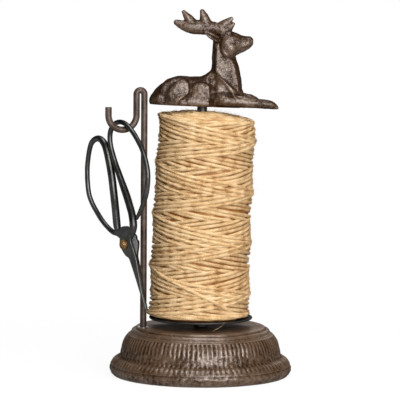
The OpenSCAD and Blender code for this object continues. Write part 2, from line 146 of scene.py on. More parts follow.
def ramp(tree, value, *stops):
    """A colour for a value, by stops that are each a place and a hex colour."""
    made = add(tree, "ValToRGB", {"Fac": value})
    elements = made.color_ramp.elements
    for i, (place, colour) in enumerate(stops):
        element = elements[i] if i < len(elements) else elements.new(place)
        element.position = place
        element.color = linear(colour)
    return made.outputs["Color"]


def paint(tree, shader, colour):
    """Feeds a shader its colour."""
    tree.links.new(colour, shader.inputs["Base Color"])


def relief(tree, shader, height, strength, depth):
    """Gives a shader fine relief of a depth in millimetres, and returns the normal that it makes."""
    made = add(tree, "Bump", {"Height": height, "Strength": strength, "Distance": depth * mm})
    tree.links.new(made.outputs["Normal"], shader.inputs["Normal"])
    return made.outputs["Normal"]


def cover(tree, share, under, over):
    """Ends a material in one shader with a share of another over it."""
    mixed = add(tree, "MixShader", {"Fac": share, 1: under, 2: over})
    tree.links.new(mixed.outputs[0], tree.nodes["Material Output"].inputs["Surface"])


def with_sheen(tree, shader, tint, roughness, share, normal):
    """Lays a thin shine of a given colour over a principled shader that has none of its own."""
    shine = add(tree, "BsdfGlossy", {"Color": linear(tint), "Roughness": roughness, "Normal": normal})
    cover(tree, share, shader.outputs["BSDF"], shine.outputs["BSDF"])


def waxed_cast_iron():
    """Sand-cast iron under brown wax: a pebbled skin that is dark in its hollows, and rubbed to grey metal
    on whatever stands proud, which each mesh gives as its own attribute; that attribute also carries a
    painted highlight on the base's ring and painted light and shade on the stag. The wax shines a little."""
    made, tree, shader, place = new_material("waxed cast iron", Roughness=0.7, Specular_IOR_Level=0.0)
    rub_and_painted_light = add(tree, "Attribute", attribute_name="rub_and_painted_light").outputs["Fac"]
    pebble = grain(tree, place, 2.2, 3.0, 0.6)
    grit = grain(tree, place, 1.0, 2.0)
    cloud = grain(tree, place, 14, 2.0)
    spread = plus(tree, pebble, 0.5, rub_and_painted_light)
    spread = plus(tree, grit, 0.3, spread)
    spread = plus(tree, cloud, 0.9, spread)
    # about the mean of the three noises is taken off again, which leaves the rub and its painted light
    colour = ramp(tree, plus(tree, spread, 1.0, -0.83),
                  (0.2, "#2a1c12"), (0.45, "#412f20"), (0.65, "#4f3c2a"), (0.92, "#5a4839"))
    paint(tree, shader, colour)
    normal = relief(tree, shader, plus(tree, grit, 0.35, pebble), 0.5, 0.5)
    # pits in the rubbed skin hold wax and stay dull
    share = ranged(tree, plus(tree, grit, 0.9, spread), 1.44, 2.25, 0.006, 0.122)
    with_sheen(tree, shader, "#f0e4de", 0.34, share, normal)
    return made


def browned_rod():
    """Drawn steel rod, browned: fine streaks along it and thin dark scale, browner low down, with a satin
    shine."""
    made, tree, shader, place = new_material("browned steel rod", Roughness=0.6, Specular_IOR_Level=0.0)
    streak = streaks(tree, place, (0.7, 0.7, 15), 3.0)
    mixed = plus(tree, streak, 0.45, grain(tree, place, 6, 4.0, 0.65))
    height = add(tree, "SeparateXYZ", {"Vector": place}).outputs["Z"]
    mixed = plus(tree, ranged(tree, height, 60 * mm, 200 * mm, -0.12, 0.04), 1.0, mixed)
    paint(tree, shader, ramp(tree, mixed, (0.42, "#20160f"), (0.66, "#35281f"), (0.92, "#50433b")))
    normal = relief(tree, shader, mixed, 0.35, 0.15)
    with_sheen(tree, shader, "#f0e4e0", 0.36, 0.032, normal)
    return made


def black_sheet():
    """Sheet steel sprayed matt black: a faint orange peel, and grey scuffs where the spool turns on it."""
    made, tree, shader, place = new_material("matt black steel sheet", Roughness=0.6, Specular_IOR_Level=0.0)
    scuff = grain(tree, place, 9, 5.0, 0.7)
    paint(tree, shader, ramp(tree, scuff, (0.45, "#121110"), (0.62, "#242220"), (0.8, "#4b4744")))
    normal = relief(tree, shader, grain(tree, place, 0.9, 2.0), 0.4, 0.12)
    with_sheen(tree, shader, "#f0ebe6", 0.45, 0.045, normal)
    return made


def zinc_plate():
    """Zinc-plated steel: grey with dull clouded patches."""
    made, tree, shader, place = new_material("zinc-plated steel", Metallic=1.0, Roughness=0.38)
    paint(tree, shader, ramp(tree, grain(tree, place, 3, 4.0), (0.35, "#5a5753"), (0.7, "#85817b")))
    return made


def black_forged_steel():
    """Forged scissor steel, oil-blacked: satin near-black with hammer dimples and a grey shine along the
    bows. Faces that a mesh gives as ground are bare grey steel with fine lines across them."""
    made, tree, shader, place = new_material("oil-blacked forged steel", Roughness=0.5,
                                             Specular_IOR_Level=0.0)
    ground = add(tree, "Attribute", attribute_name="ground").outputs["Fac"]
    oil = grain(tree, place, 11, 4.0, 0.6)
    black = ramp(tree, oil, (0.35, "#080807"), (0.6, "#0f0e0e"), (0.8, "#1b1a19"))
    # lines of the wheel, 0.3 mm apart
    bare = ramp(tree, streaks(tree, place, (4, 4, 0.3), 2.0), (0.3, "#626361"), (0.7, "#8f908d"))
    colour = add(tree, "Mix", {"Factor": ground, "A": black, "B": bare}, data_type="RGBA")
    paint(tree, shader, colour.outputs["Result"])
    normal = relief(tree, shader, grain(tree, place, 4, 2.0), 0.3, 0.3)
    with_sheen(tree, shader, "#f2f2f0", 0.29, ranged(tree, oil, 0.3, 0.7, 0.03, 0.075), normal)
    return made


def worn_brass():
    """Brass gone dull: brown in its tarnish, yellow where it is rubbed, with a small pale shine."""
    made, tree, shader, place = new_material("dull brass", Roughness=0.5, Specular_IOR_Level=0.0)
    cloud = grain(tree, place, 2, 4.0)
    paint(tree, shader, ramp(tree, cloud, (0.35, "#3d2813"), (0.65, "#7d5a30")))
    normal = relief(tree, shader, cloud, 0.3, 0.15)
    with_sheen(tree, shader, "#f3e3c4", 0.34, 0.05, normal)
    return made


def jute(name, light, dark, cord=True):
    """Jute: dry straw-gold fibre with paler and browner lengths, and a faint shine. As a cord it is spun in
    plies, which show as slanted dark lines round each strand."""
    made, tree, shader, place = new_material(name, Roughness=0.85, Specular_IOR_Level=0.0)
    fibre = grain(tree, place, 0.7, 3.0, 0.65)
    mixed = plus(tree, fibre, 0.6, grain(tree, place, 7, 3.0))
    height = fibre
    if cord:
        # U counts the strand's length in turns of its plies
        turns = add(tree, "UVMap", uv_map="UVMap").outputs["UV"]
        wave = add(tree, "TexWave", {"Vector": turns, "Scale": PLY_WAVES, "Distortion": 1.2, "Detail": 2.0,
                                     "Detail Scale": 1.5}, wave_type="BANDS", bands_direction="DIAGONAL")
        ply = wave.outputs["Fac"]
        mixed = plus(tree, ply, 0.25, mixed)
        height = plus(tree, ply, 0.8, height)
    colour = ramp(tree, plus(tree, mixed, 1.0, -0.4), (0.15, dark), (0.5, light), (0.8, "#eed1a6"))
    paint(tree, shader, colour)
    normal = relief(tree, shader, height, 0.6, 0.35)
    with_sheen(tree, shader, "#ffe9cc", 0.45, 0.03, normal)
    return made


def brown_card():
    """Spiral-wound cardboard: dull brown with faint fibre specks."""
    made, tree, shader, place = new_material("brown cardboard", Roughness=0.9)
    paint(tree, shader, ramp(tree, grain(tree, place, 0.9, 4.0), (0.35, "#7d6547"), (0.7, "#a58a66")))
    return made


IRON = waxed_cast_iron()
ROD = browned_rod()
SHEET = black_sheet()
ZINC = zinc_plate()
FORGED = black_forged_steel()
BRASS = worn_brass()
TWINE = jute("spun jute twine", "#e0ba87", "#955c27")
# the wound mass gets darker jute colours, as painted shade in the gaps between the strands
JUTE_IN_PAINTED_SHADE = jute("jute twine deep in the spool, in painted shade", "#9a6734", "#6e431c", cord=False)
FIBRE = jute("loose jute fibre", "#d9bb8e", "#b48b58", cord=False)
CARD = brown_card()
LOOKS = {"rod_steel": ROD, "black_steel": SHEET, "zinc_steel": ZINC, "forged_steel": FORGED, "brass": BRASS,
         "cast_iron": IRON, "jute": TWINE, "card": CARD}
for part in frame["record"]["subparts"]:
    mesh = frame["nodes"][part["node"]].data
    mesh.materials.clear()
    mesh.materials.append(LOOKS[part["material_slot"]])


# Making pieces

def piece(name, bm, look, body, slot, *nodes, smooth=True):
    """Turns a bmesh drawn in millimetres into a piece that rides on a body and stands for CAD nodes."""
    bm.transform(Matrix.Scale(mm, 4))
    mesh = bpy.data.meshes.new(name)
    bm.to_mesh(mesh)
    bm.free()
    return finish_piece(name, mesh, look, body, slot, *nodes, smooth=smooth)


def finish_piece(name, mesh, look, body, slot, *nodes, smooth=True):
    """Makes the piece of a mesh in metres: its look, the body it rides on and the CAD nodes it stands for."""
    mesh.materials.clear()
    mesh.materials.append(look)
    if smooth:
        mesh.shade_smooth()
    made = bpy.data.objects.new(name, mesh)
    scene.collection.objects.link(made)
    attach(made, body)
    if nodes:
        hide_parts(*nodes)
    return made


def vertex_rows(mesh, what):
    """The places or the normals of a mesh's vertices, one to a row."""
    found = np.empty(len(mesh.vertices) * 3)
    mesh.vertices.foreach_get(what, found)
    return found.reshape(-1, 3)


def keep_rub(mesh, reach, steps):
    """Stores how far each vertex stands proud of the mesh as smoothed in so many steps: from 0 in a crease
    to 1 on a ridge, with the reach as the height that counts as fully proud."""
    count = len(mesh.vertices)
    co = vertex_rows(mesh, "co")
    ends = np.empty(len(mesh.edges) * 2, dtype=int)
    mesh.edges.foreach_get("vertices", ends)
    a, b = ends.reshape(-1, 2).T
    degree = np.maximum(np.bincount(np.r_[a, b], minlength=count), 1)

    def spread(value):
        return np.bincount(np.r_[a, b], np.r_[value[b], value[a]], count) / degree

    smooth = co.T.copy()
    for _ in range(steps):
        smooth = np.array([0.3 * axis + 0.7 * spread(axis) for axis in smooth])
    proud = np.clip(((co - smooth.T) * vertex_rows(mesh, "normal")).sum(1) / reach, -1, 1)
    proud = 0.5 * proud + 0.5 * spread(proud)
    rub_and_painted_light = mesh.attributes.new("rub_and_painted_light", "FLOAT", "POINT")
    rub_and_painted_light.data.foreach_set("value", np.clip(0.5 + 0.7 * proud, 0, 1).astype(np.float32))


def arc(cx, cz, radius, start, end, count):
    """Points of an arc in a profile, from one angle to another in degrees."""
    angles = [math.radians(start + (end - start) * i / count) for i in range(count + 1)]
    return [(cx + radius * math.cos(a), cz + radius * math.sin(a)) for a in angles]


def finer(points, step):
    """The same profile with points no further apart than the step."""
    made = [points[0]]
    for a, b in zip(points, points[1:]):
        parts = max(1, math.ceil(math.dist(a, b) / step))
        made += [tuple(p + (q - p) * i / parts for p, q in zip(a, b)) for i in range(1, parts + 1)]
    return made


def turned(points, steps):
    """A bmesh of a profile of radius and height turned round the spindle, an eighth and then its copies."""
    bm = bmesh.new()
    line = [bm.verts.new((r, 0, z)) for r, z in points]
    for a, b in zip(line, line[1:]):
        bm.edges.new((a, b))
    bmesh.ops.spin(bm, geom=bm.verts[:] + bm.edges[:], cent=(0, 0, 0), axis=(0, 0, 1),
                   angle=math.pi / 4, steps=steps // 8)
    bmesh.ops.spin(bm, geom=bm.verts[:] + bm.edges[:] + bm.faces[:], cent=(0, 0, 0), axis=(0, 0, 1),
                   angle=math.pi * 7 / 4, steps=7, use_duplicate=True)
    bmesh.ops.remove_doubles(bm, verts=bm.verts[:], dist=0.001)
    bmesh.ops.recalc_face_normals(bm, faces=bm.faces[:])
    return bm


# Base: a hollow casting with a ring, a fluted dome and a rolled rim

FLUTES = 104
FLUTE_DEPTH = 0.8
TOP_R = 50               # the flat top stays plain inside this radius


def ease(low, high, value):
    """A smooth step from 0 at the low value to 1 at the high one."""
    t = min(max((value - low) / (high - low), 0), 1)
    return t * t * (3 - 2 * t)


def make_base():
    """The base, from its profile as radius and height."""
    disc = [(2.9, 39), (14, 39), (26, 39), (38, 39), (46, 39), (50.6, 39)]
    outside = [
        (50.6, 39), (51.3, 38.9), (51.9, 38.5), (52.2, 37.9), (52, 37.4), (52.4, 37.1), (53.1, 37.2),
        (54, 37.1), (54.9, 36.6), (55.5, 35.9), (55.6, 35.2), (55.4, 34.7), (55.9, 34.4), (56.7, 34),
        (57, 33.4), (57.5, 33), (58.4, 32.7), (59.8, 31.2), (60.9, 29.6), (61.9, 27.9), (62.6, 26.1),
        (63.3, 23.6), (63.8, 21), (64.2, 18.6), (64.7, 16.5), (65.5, 15.2), (66.7, 14.4), (68.1, 13.9),
        (69.6, 13), (70.9, 11.7), (71.8, 10.2), (72.3, 8.9), (72.2, 8.2), (72.6, 7.4), (73, 6.4),
        (73, 5.2), (72.6, 3.6), (71.6, 1.8), (70.4, 0.5), (69.8, 0)]
    inside = [(64.6, 0), (60.9, 13.2), (57.5, 27.6), (53.4, 31), (48.4, 34), (12, 34), (12, 27.6), (11.4, 27),
              (2.9, 27), (2.9, 39)]
    bm = turned(disc + finer(outside[1:], 0.6) + finer(inside, 6)[1:], FLUTES * 6)
    rng = np.random.default_rng(2)
    strength = rng.uniform(0.75, 1.15, FLUTES)
    for vert in bm.verts:
        x, y, z = vert.co
        r = math.hypot(x, y)
        in_hollow = z < 26.5 and r < 66.8 - 0.26 * z
        if r < TOP_R or in_hollow:
            continue
        spot = Vector((x, y, z))
        turn = FLUTES * (math.atan2(y, x) / (2 * math.pi) + 1)
        # a round ridge and a valley for each flute, broken where the sand was rough, half way down
        torn = noise.noise(spot / 3.5)
        broken = ease(14.5, 17, z) * (1 - ease(20, 24, z + 3 * torn))
        off_rim = ease(9, 12, z)
        along = off_rim * (1 - ease(31.6, 32.8, z)) * (r > 57) * (1 - 0.75 * broken)
        wave = 0.5 + 0.5 * math.cos(2 * math.pi * (turn + 0.16 * noise.noise(spot / 5)))
        depth = -FLUTE_DEPTH * along * strength[int(turn + 0.5) % FLUTES] * (0.8 + 0.4 * torn) * wave
        # the skin is roughest there and on the rim
        rough = 0.12 + 0.4 * broken + 0.3 * (1 - off_rim)
        depth += rough * noise.noise(spot / 3.2) + 0.25 * rough * noise.noise(spot / 1.5)
        depth += 0.15 * noise.noise(spot / 9)
        if z > 38.9:
            vert.co.z += 0.35 * depth
        else:
            vert.co.x += depth * x / r
            vert.co.y += depth * y / r
    made = piece("base_casting", bm, IRON, "stand", "cast_iron", "base")
    keep_rub(made.data, 0.3 * mm, 4)
    # the flat top is rubbed more evenly than the rest; the ring below it is lifted brighter as a painted
    # highlight
    for vert, rub_and_painted_light in zip(made.data.vertices, made.data.attributes["rub_and_painted_light"].data):
        z = vert.co.z / mm
        if z > 37:
            rub_and_painted_light.value = 0.42 + 0.3 * rub_and_painted_light.value
        elif z > 32.6:
            rub_and_painted_light.value = 0.45 + 0.4 * rub_and_painted_light.value


make_base()


# Shared shapes for the swept pieces

def through(points, steps):
    """A smooth curve through the points, as many numbers wide as they are."""
    p = np.array([points[0], *points, points[-1]], dtype=float)
    made = []
    for a, b, c, d in zip(p, p[1:], p[2:], p[3:]):
        for t in np.arange(steps) / steps:
            made.append(0.5 * (2 * b + (c - a) * t + (2 * a - 5 * b + 4 * c - d) * t ** 2
                               + (3 * b - a - 3 * c + d) * t ** 3))
    return made + [p[-1]]


def sweep(bm, path, sides, way=None, up=(0, 0, 1)):
    """Adds a closed form through oval sections of x, y, z, half height and half width, each square to the
    way on."""
    loops = []
    last = len(path) - 1
    for i, (x, y, z, tall, wide) in enumerate(path):
        ahead = Vector(way or path[min(i + 1, last)][:3] - path[max(i - 1, 0)][:3]).normalized()
        across = Vector(up).cross(ahead).normalized()
        turn = Matrix((ahead.cross(across), across, ahead)).transposed().to_4x4()
        place = Matrix.Translation((x, y, z)) @ turn @ Matrix.Diagonal((tall, wide, 1, 1))
        ring = bmesh.ops.create_circle(bm, cap_ends=i in (0, last), segments=sides, radius=1, matrix=place)
        loops.append(list({edge for vert in ring["verts"] for edge in vert.link_edges}))
    for a, b in zip(loops, loops[1:]):
        bmesh.ops.bridge_loops(bm, edges=a + b)


def ball(bm, place, sizes, lean=0.0):
    """Adds an egg-shaped form with its half sizes, leant about the Y axis by degrees."""
    lay = Matrix.Translation(place) @ Matrix.Rotation(math.radians(lean), 4, "Y")
    bmesh.ops.create_uvsphere(bm, u_segments=24, v_segments=14, radius=1,
                              matrix=lay @ Matrix.Diagonal((*sizes, 1)))


def hold(name, form):
    """An object made of a bmesh, in the scene."""
    mesh = bpy.data.meshes.new(name)
    form.to_mesh(mesh)
    form.free()
    holder = bpy.data.objects.new(name, mesh)
    scene.collection.objects.link(holder)
    return holder


def settle(holder, *others):
    """The mesh that an object's modifiers make of it. The object goes, and so do the others they used."""
    made = bpy.data.meshes.new_from_object(holder.evaluated_get(bpy.context.evaluated_depsgraph_get()))
    for used in (holder, *others):
        mesh = used.data
        bpy.data.objects.remove(used)
        bpy.data.meshes.remove(mesh)
    return made


def skin_over(bm, voxel, rounds):
    """One smooth skin, in voxels of a given size, over all the closed forms in a bmesh."""
    holder = hold("forms", bm)
    skin = holder.modifiers.new("skin", "REMESH")
    skin.mode = "VOXEL"
    skin.voxel_size = voxel
    relax = holder.modifiers.new("relax", "SMOOTH")
    relax.factor = 0.5
    relax.iterations = rounds
    return settle(holder)


def bored(bm, radius, low, high):
    """A closed form with an upright round hole about the spindle's axis."""
    form = bmesh.new()
    bmesh.ops.create_cone(form, cap_ends=True, segments=48, radius1=radius, radius2=radius, depth=high - low,
                          matrix=Matrix.Translation((0, 0, (low + high) / 2)))
    blank = hold("blank", bm)
    drill = hold("drill", form)
    cut = blank.modifiers.new("bore", "BOOLEAN")
    cut.operation = "DIFFERENCE"
    cut.solver = "EXACT"
    cut.object = drill
    return settle(blank, drill)


def new_curve(name, radius, resolution):
    """A curve that is drawn as a round line of a radius in millimetres."""
    curve = bpy.data.curves.new(name, "CURVE")
    curve.dimensions = "3D"
    curve.bevel_depth = radius * mm
    curve.bevel_resolution = resolution
    return curve


def add_line(curve, points, radii):
    """Adds a line through points in millimetres, with a share of the curve's radius at each of them."""
    line = curve.splines.new("POLY")
    line.points.add(len(points) - 1)
    line.points.foreach_set("co", np.c_[points * mm, np.ones(len(points))].ravel())
    line.points.foreach_set("radius", radii)


def meshed(curve):
    """The mesh of a curve, which goes."""
    holder = bpy.data.objects.new(curve.name, curve)
    mesh = bpy.data.meshes.new_from_object(holder)
    bpy.data.objects.remove(holder)
    bpy.data.curves.remove(curve)
    return mesh


# Twine: one strand wound up and down over the core, each pass lying on those below it

RIGHT = np.array([math.cos(FRONT + math.pi / 2), math.sin(FRONT + math.pi / 2)])   # the camera's right
TOWARDS = np.array([math.cos(FRONT), math.sin(FRONT)])
STRAND = 1.5             # radius of the strand as it is seen
BEDDED = 1.08            # the same where one strand lies on another
CORE_LOW, CORE_HIGH = (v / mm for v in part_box("twine_core"))
CORE_R = CORE_HIGH.x
BED_R = CORE_R + 2.8     # the wound mass that shows between the strands
TUBE_R = 7.2             # the hole through it
WIND_LOW = CORE_LOW.z + 1.9
POINTS_PER_TURN = 100
CYCLE = 8.0874           # turns in one journey up and back down
CYCLES = 15
DEEP_CYCLES = 3          # the first of them, which hardly show
# where the loose strand leaves the winding and ends, in degrees to the camera's right, and its heights
LOOSE_FROM, LOOSE_TO = -68, 50
LOOSE_HIGH, LOOSE_LOW = 86, WIND_LOW + 3
PILE = 3.6               # how high the passes may pile up before they are pressed in
END_TURNS = 13.2         # turns that lie over the top
END_R, END_STEP = 31.8, 1.83   # radius of the first of them, and how far in each one comes
HAIRS = 2600
HAIRY_CYCLES = 5         # the last of the cycles, on which they stand


def strays(rng, at, span, step, size):
    """Values at places along a span, which run between random ones that are a step apart."""
    knots = np.arange(0, span, step)
    return np.interp(at, knots, rng.normal(0, size, len(knots)))


def wind_top(side, near):
    """Height of the winding's top, which slopes down to the camera's right and a little towards it."""
    return CORE_HIGH.z + 1.0 - 2.5 * side - 1.0 * near


def shoulder(side):
    """Radius of the winding's rounded top edge: 4.5 mm on the camera's left and 9.5 mm on its right."""
    return 7 + 2.5 * side


def flare(height):
    """How much further out the winding spreads where it rests on the plate."""
    return 0.9 * np.clip(1 - (height - WIND_LOW) / 6, 0, 1) ** 1.5


def lean(points):
    """Leans wound points to the right as they rise, all but those on the tube, and fills out the foot."""
    rise = (points[:, 2] - WIND_LOW) / (CORE_HIGH.z - WIND_LOW)
    free = np.clip((np.hypot(points[:, 0], points[:, 1]) - 8) / 25, 0, 1)
    points[:, :2] *= (1 + 0.04 * np.clip(1 - rise, 0, 1) * free)[:, None]
    # 1.4 mm to the left at the foot, 4.4 mm to the right at the top, and 1.6 mm forward at the foot
    points[:, :2] += np.outer((-1.4 + 2 * rise + 3.8 * rise ** 2) * free, RIGHT)
    points[:, :2] += np.outer(1.6 * np.clip(1 - 4 * rise, 0, 1) * free, TOWARDS)
    return points


def wind_path():
    """Angles and heights of the winding, up and down, ending in a loose strand that drops to the plate."""
    turns = np.arange(0, CYCLES * CYCLE, 1 / POINTS_PER_TURN)
    climb = 1 - abs(2 * (turns / CYCLE % 1) - 1)
    # the strand turns back gently at each end
    pad = POINTS_PER_TURN // 5
    climb = np.convolve(np.pad(climb, pad, mode="edge"), np.ones(2 * pad) / (2 * pad), "same")[pad:-pad]
    climb = (climb - climb.min()) / np.ptp(climb)
    wander = strays(np.random.default_rng(11), turns, CYCLES * CYCLE + 1, 0.13, 0.5)
    last = np.flatnonzero(climb * (CORE_HIGH.z - WIND_LOW) + WIND_LOW > LOOSE_HIGH)[-1]
    turns, climb, wander = turns[:last], climb[:last], wander[:last]
    angle = (turns - turns[-1]) * 2 * math.pi + FRONT + math.radians(LOOSE_FROM)
    top = wind_top(np.sin(angle - FRONT), np.cos(angle - FRONT))
    height = WIND_LOW + (top - WIND_LOW) * climb + wander * np.clip(8 * climb * (1 - climb), 0, 1)
    reach = LOOSE_TO - LOOSE_FROM
    tail = np.linspace(0, 1, int(POINTS_PER_TURN * reach / 360))[1:]
    fall = height[-1] + (LOOSE_LOW - height[-1]) * tail + 3 * np.sin(math.pi * tail)
    return np.r_[angle, angle[-1] + tail * math.radians(reach)], np.r_[height, fall]


def lay_down(angle, height):
    """The radius of each point of the winding, laid over a map of what has been wound before it."""
    # the map has columns round the spool and rows up it, each 0.5 mm high
    columns, row = 240, 0.5
    low = WIND_LOW - 4
    z = low + row * np.arange(int((CORE_HIGH.z + 8 - low) / row))
    side = np.sin(np.arange(columns) / columns * 2 * math.pi - FRONT)[:, None]
    near = np.cos(np.arange(columns) / columns * 2 * math.pi - FRONT)[:, None]
    bend = shoulder(side)
    over = np.clip(z[None, :] - (wind_top(side, near) - bend), 0, bend)
    ground = CORE_R - bend + np.sqrt(bend ** 2 - over ** 2) + flare(z[None, :])
    column = np.floor(angle / (2 * math.pi) * columns).astype(int) % columns
    level = np.clip(((height - low) / row).astype(int), 3, len(z) - 4)
    radius = np.empty(len(angle))
    reach = [(dc, dr, math.sqrt(BEDDED ** 2 - (dr * row) ** 2)) for dc in (-1, 0, 1) for dr in (-1, 0, 1)]
    chunk = POINTS_PER_TURN // 4
    waiting = None
    before = CORE_R
    for i in range(0, len(angle), chunk):
        c, lv = column[i:i + chunk], level[i:i + chunk]
        need = np.max([ground[(c + dc) % columns, lv + dr] + rise for dc, dr, rise in reach], axis=0)
        r = need.copy()
        for _ in range(10):
            r = np.maximum(need, (np.r_[before, r[:-1]] + np.r_[r[1:], r[-1]]) / 2)
        before = r[-1]
        radius[i:i + chunk] = r
        if waiting:
            c, lv, r = waiting
            for dc, dr, rise in reach:
                np.maximum.at(ground, ((c + dc) % columns, lv + dr), r + rise)
        waiting = column[i:i + chunk], level[i:i + chunk], radius[i:i + chunk]
    # what piles up where the passes turn back is pressed in
    bed = CORE_R + flare(height)
    pile = np.convolve(np.pad(radius, 2, mode="edge"), np.ones(5) / 5, "valid") - bed
    return bed + np.where(pile < PILE, pile, PILE + 0.25 * (pile - PILE))


def make_strand(name, points, resolution, swell, *nodes):
    """A piece of the strand along points, with U counting its length in turns of its plies."""
    curve = new_curve(name, STRAND, resolution)
    curve.twist_mode = "Z_UP"
    curve.use_fill_caps = True
    add_line(curve, points, swell)
    mesh = meshed(curve)
    layer = mesh.uv_layers[0].uv
    uv = np.empty(len(layer) * 2)
    layer.foreach_get("vector", uv)
    uv = uv.reshape(-1, 2)
    # the length is put along U where the curve gave it along V
    if np.ptp(uv[:4, 0]) > np.ptp(uv[:4, 1]):
        uv = uv[:, ::-1].copy()
    uv[:, 0] *= np.linalg.norm(np.diff(points, axis=0), axis=1).sum() / PLY_TURN
    layer.foreach_set("vector", uv.ravel())
    finish_piece(name, mesh, TWINE, "spool", "jute", *nodes)


def make_mass():
    """The wound mass behind the strands that are seen, fuller than the plain core, and darker in colour as
    painted shade.
    """
    low, high = CORE_LOW.z, CORE_HIGH.z
    foot = [(TUBE_R, low), (CORE_R - 2, low), (CORE_R, low + 2), (BED_R, low + 4)]
    edge = arc(BED_R - 9.5, high - 8.5, 9.5, 0, 78, 8)
    top = [(22, high + 2.6), (9.5, high + 3.4), (8, high + 2.4), (TUBE_R, high + 0.5), (TUBE_R, low)]
    bm = turned(finer(foot + edge + top, 4), 96)
    place = lean(np.array([v.co for v in bm.verts]))
    for vert, (x, y, z) in zip(bm.verts, place):
        side = np.array((x, y)) @ RIGHT / BED_R
        near = np.array((x, y)) @ TOWARDS / BED_R
        drop = (wind_top(side, near) - high) * ease(high - 30, high, z) * math.hypot(side, near)
        vert.co = (x, y, z + drop)
    piece("twine_mass", bm, JUTE_IN_PAINTED_SHADE, "spool", "jute", "twine_core")


def make_winding():
    """The strand's passes up and down. Returns the points along it."""
    angle, height = wind_path()
    radius = lay_down(angle, height)
    count = len(radius)
    # the loose end is tucked in by the plate
    tuck = np.clip((np.arange(count) - count + 8) / 8, 0, 1)
    radius -= 4 * tuck ** 2
    points = lean(np.c_[radius * np.cos(angle), radius * np.sin(angle), height])
    swell = 1 + strays(np.random.default_rng(5), np.arange(count), count + 5, 5, 0.07)
    split = int(DEEP_CYCLES * CYCLE * POINTS_PER_TURN)
    make_strand("twine_under", points[:split + 1:2], 1, swell[:split + 1:2])
    make_strand("twine_strands", points[split:], 2, swell[split:], "twine_winding")
    return points


def make_end():
    """The end of the spool: turns that lie over the top, in to the tube. Returns the points along them."""
    rng = np.random.default_rng(3)
    turn = np.arange(0, END_TURNS, 1 / POINTS_PER_TURN)
    angle = turn * 2 * math.pi
    r = END_R - END_STEP * turn + strays(rng, turn, 14, 0.2, 0.5)
    side, near = np.sin(angle), np.cos(angle)
    bend = shoulder(side)
    past = np.clip(r - (BED_R - bend), 0, 0.95 * bend)
    rim = wind_top(side, near) - bend + np.sqrt(bend ** 2 - past ** 2)
    share = (r / 35) ** 1.6
    height = rim * share + (CORE_HIGH.z + 5.2) * (1 - share) + strays(rng, turn, 14, 0.17, 0.3)
    points = lean(np.c_[r * np.cos(angle + FRONT), r * np.sin(angle + FRONT), height])
    make_strand("twine_end", points, 2, rng.normal(1, 0.05, len(points)))
    return points


def make_fuzz(points):
    """Loose ends of fibre that stand off the strands, each a bent hair of 1.5 to 4 mm that leaves almost
    along one."""
    rng = np.random.default_rng(8)
    low = CORE_LOW.z + 0.3
    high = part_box("deer")[0].z / mm - 0.4   # no hair brushes the stag as the spool turns
    curve = new_curve("twine_fuzz", 0.05, 0)
    t = np.array([[0], [0.35], [0.7], [1]])
    for i in rng.integers(2, len(points) - 2, HAIRS):
        along = points[i + 1] - points[i - 1]
        along *= rng.choice((-1, 1)) / np.linalg.norm(along)
        out = points[i] * (1, 1, 0)
        out /= np.linalg.norm(out)
        if points[i][2] > CORE_HIGH.z:
            out = out * 0.4 + (0, 0, 1)
        long = rng.uniform(1.5, 4)
        rise = rng.uniform(0.15, 0.75)
        stray = rng.normal(0, 0.35, 3)
        start = points[i] + out * STRAND * 0.8
        hair = start + long * t * (along + rise * out * (1.3 - 0.5 * t) + stray * t)
        hair[:, 2] = np.clip(hair[:, 2], low, high)
        add_line(curve, hair, 1.2 - 0.8 * t.ravel())
    # one longer end hangs over the plate's edge at the front
    hanging = [(19, 38, 47), (17.5, 40, 45.4), (15.6, 40.4, 43.6), (10, 41.6, 40.8)]
    hair = np.array([(*(right * RIGHT + near * TOWARDS), z) for right, near, z in hanging])
    add_line(curve, hair, np.full(len(hair), 1.5))
    finish_piece("twine_fuzz", meshed(curve), FIBRE, "spool", "jute")


make_mass()
outermost = make_winding()[-HAIRY_CYCLES * int(CYCLE * POINTS_PER_TURN):]
make_fuzz(np.r_[outermost, make_end()])


# Stag: forms along its body, joined under one skin, with its creases pressed in

SOCKET_R = 4.05
STAG = (Matrix.Translation((0, 0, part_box("finial_socket")[1].z / mm - 18))
        @ Matrix.Rotation(math.radians(-16), 4, "Z") @ Matrix.Rotation(math.radians(2.3), 4, "Y"))


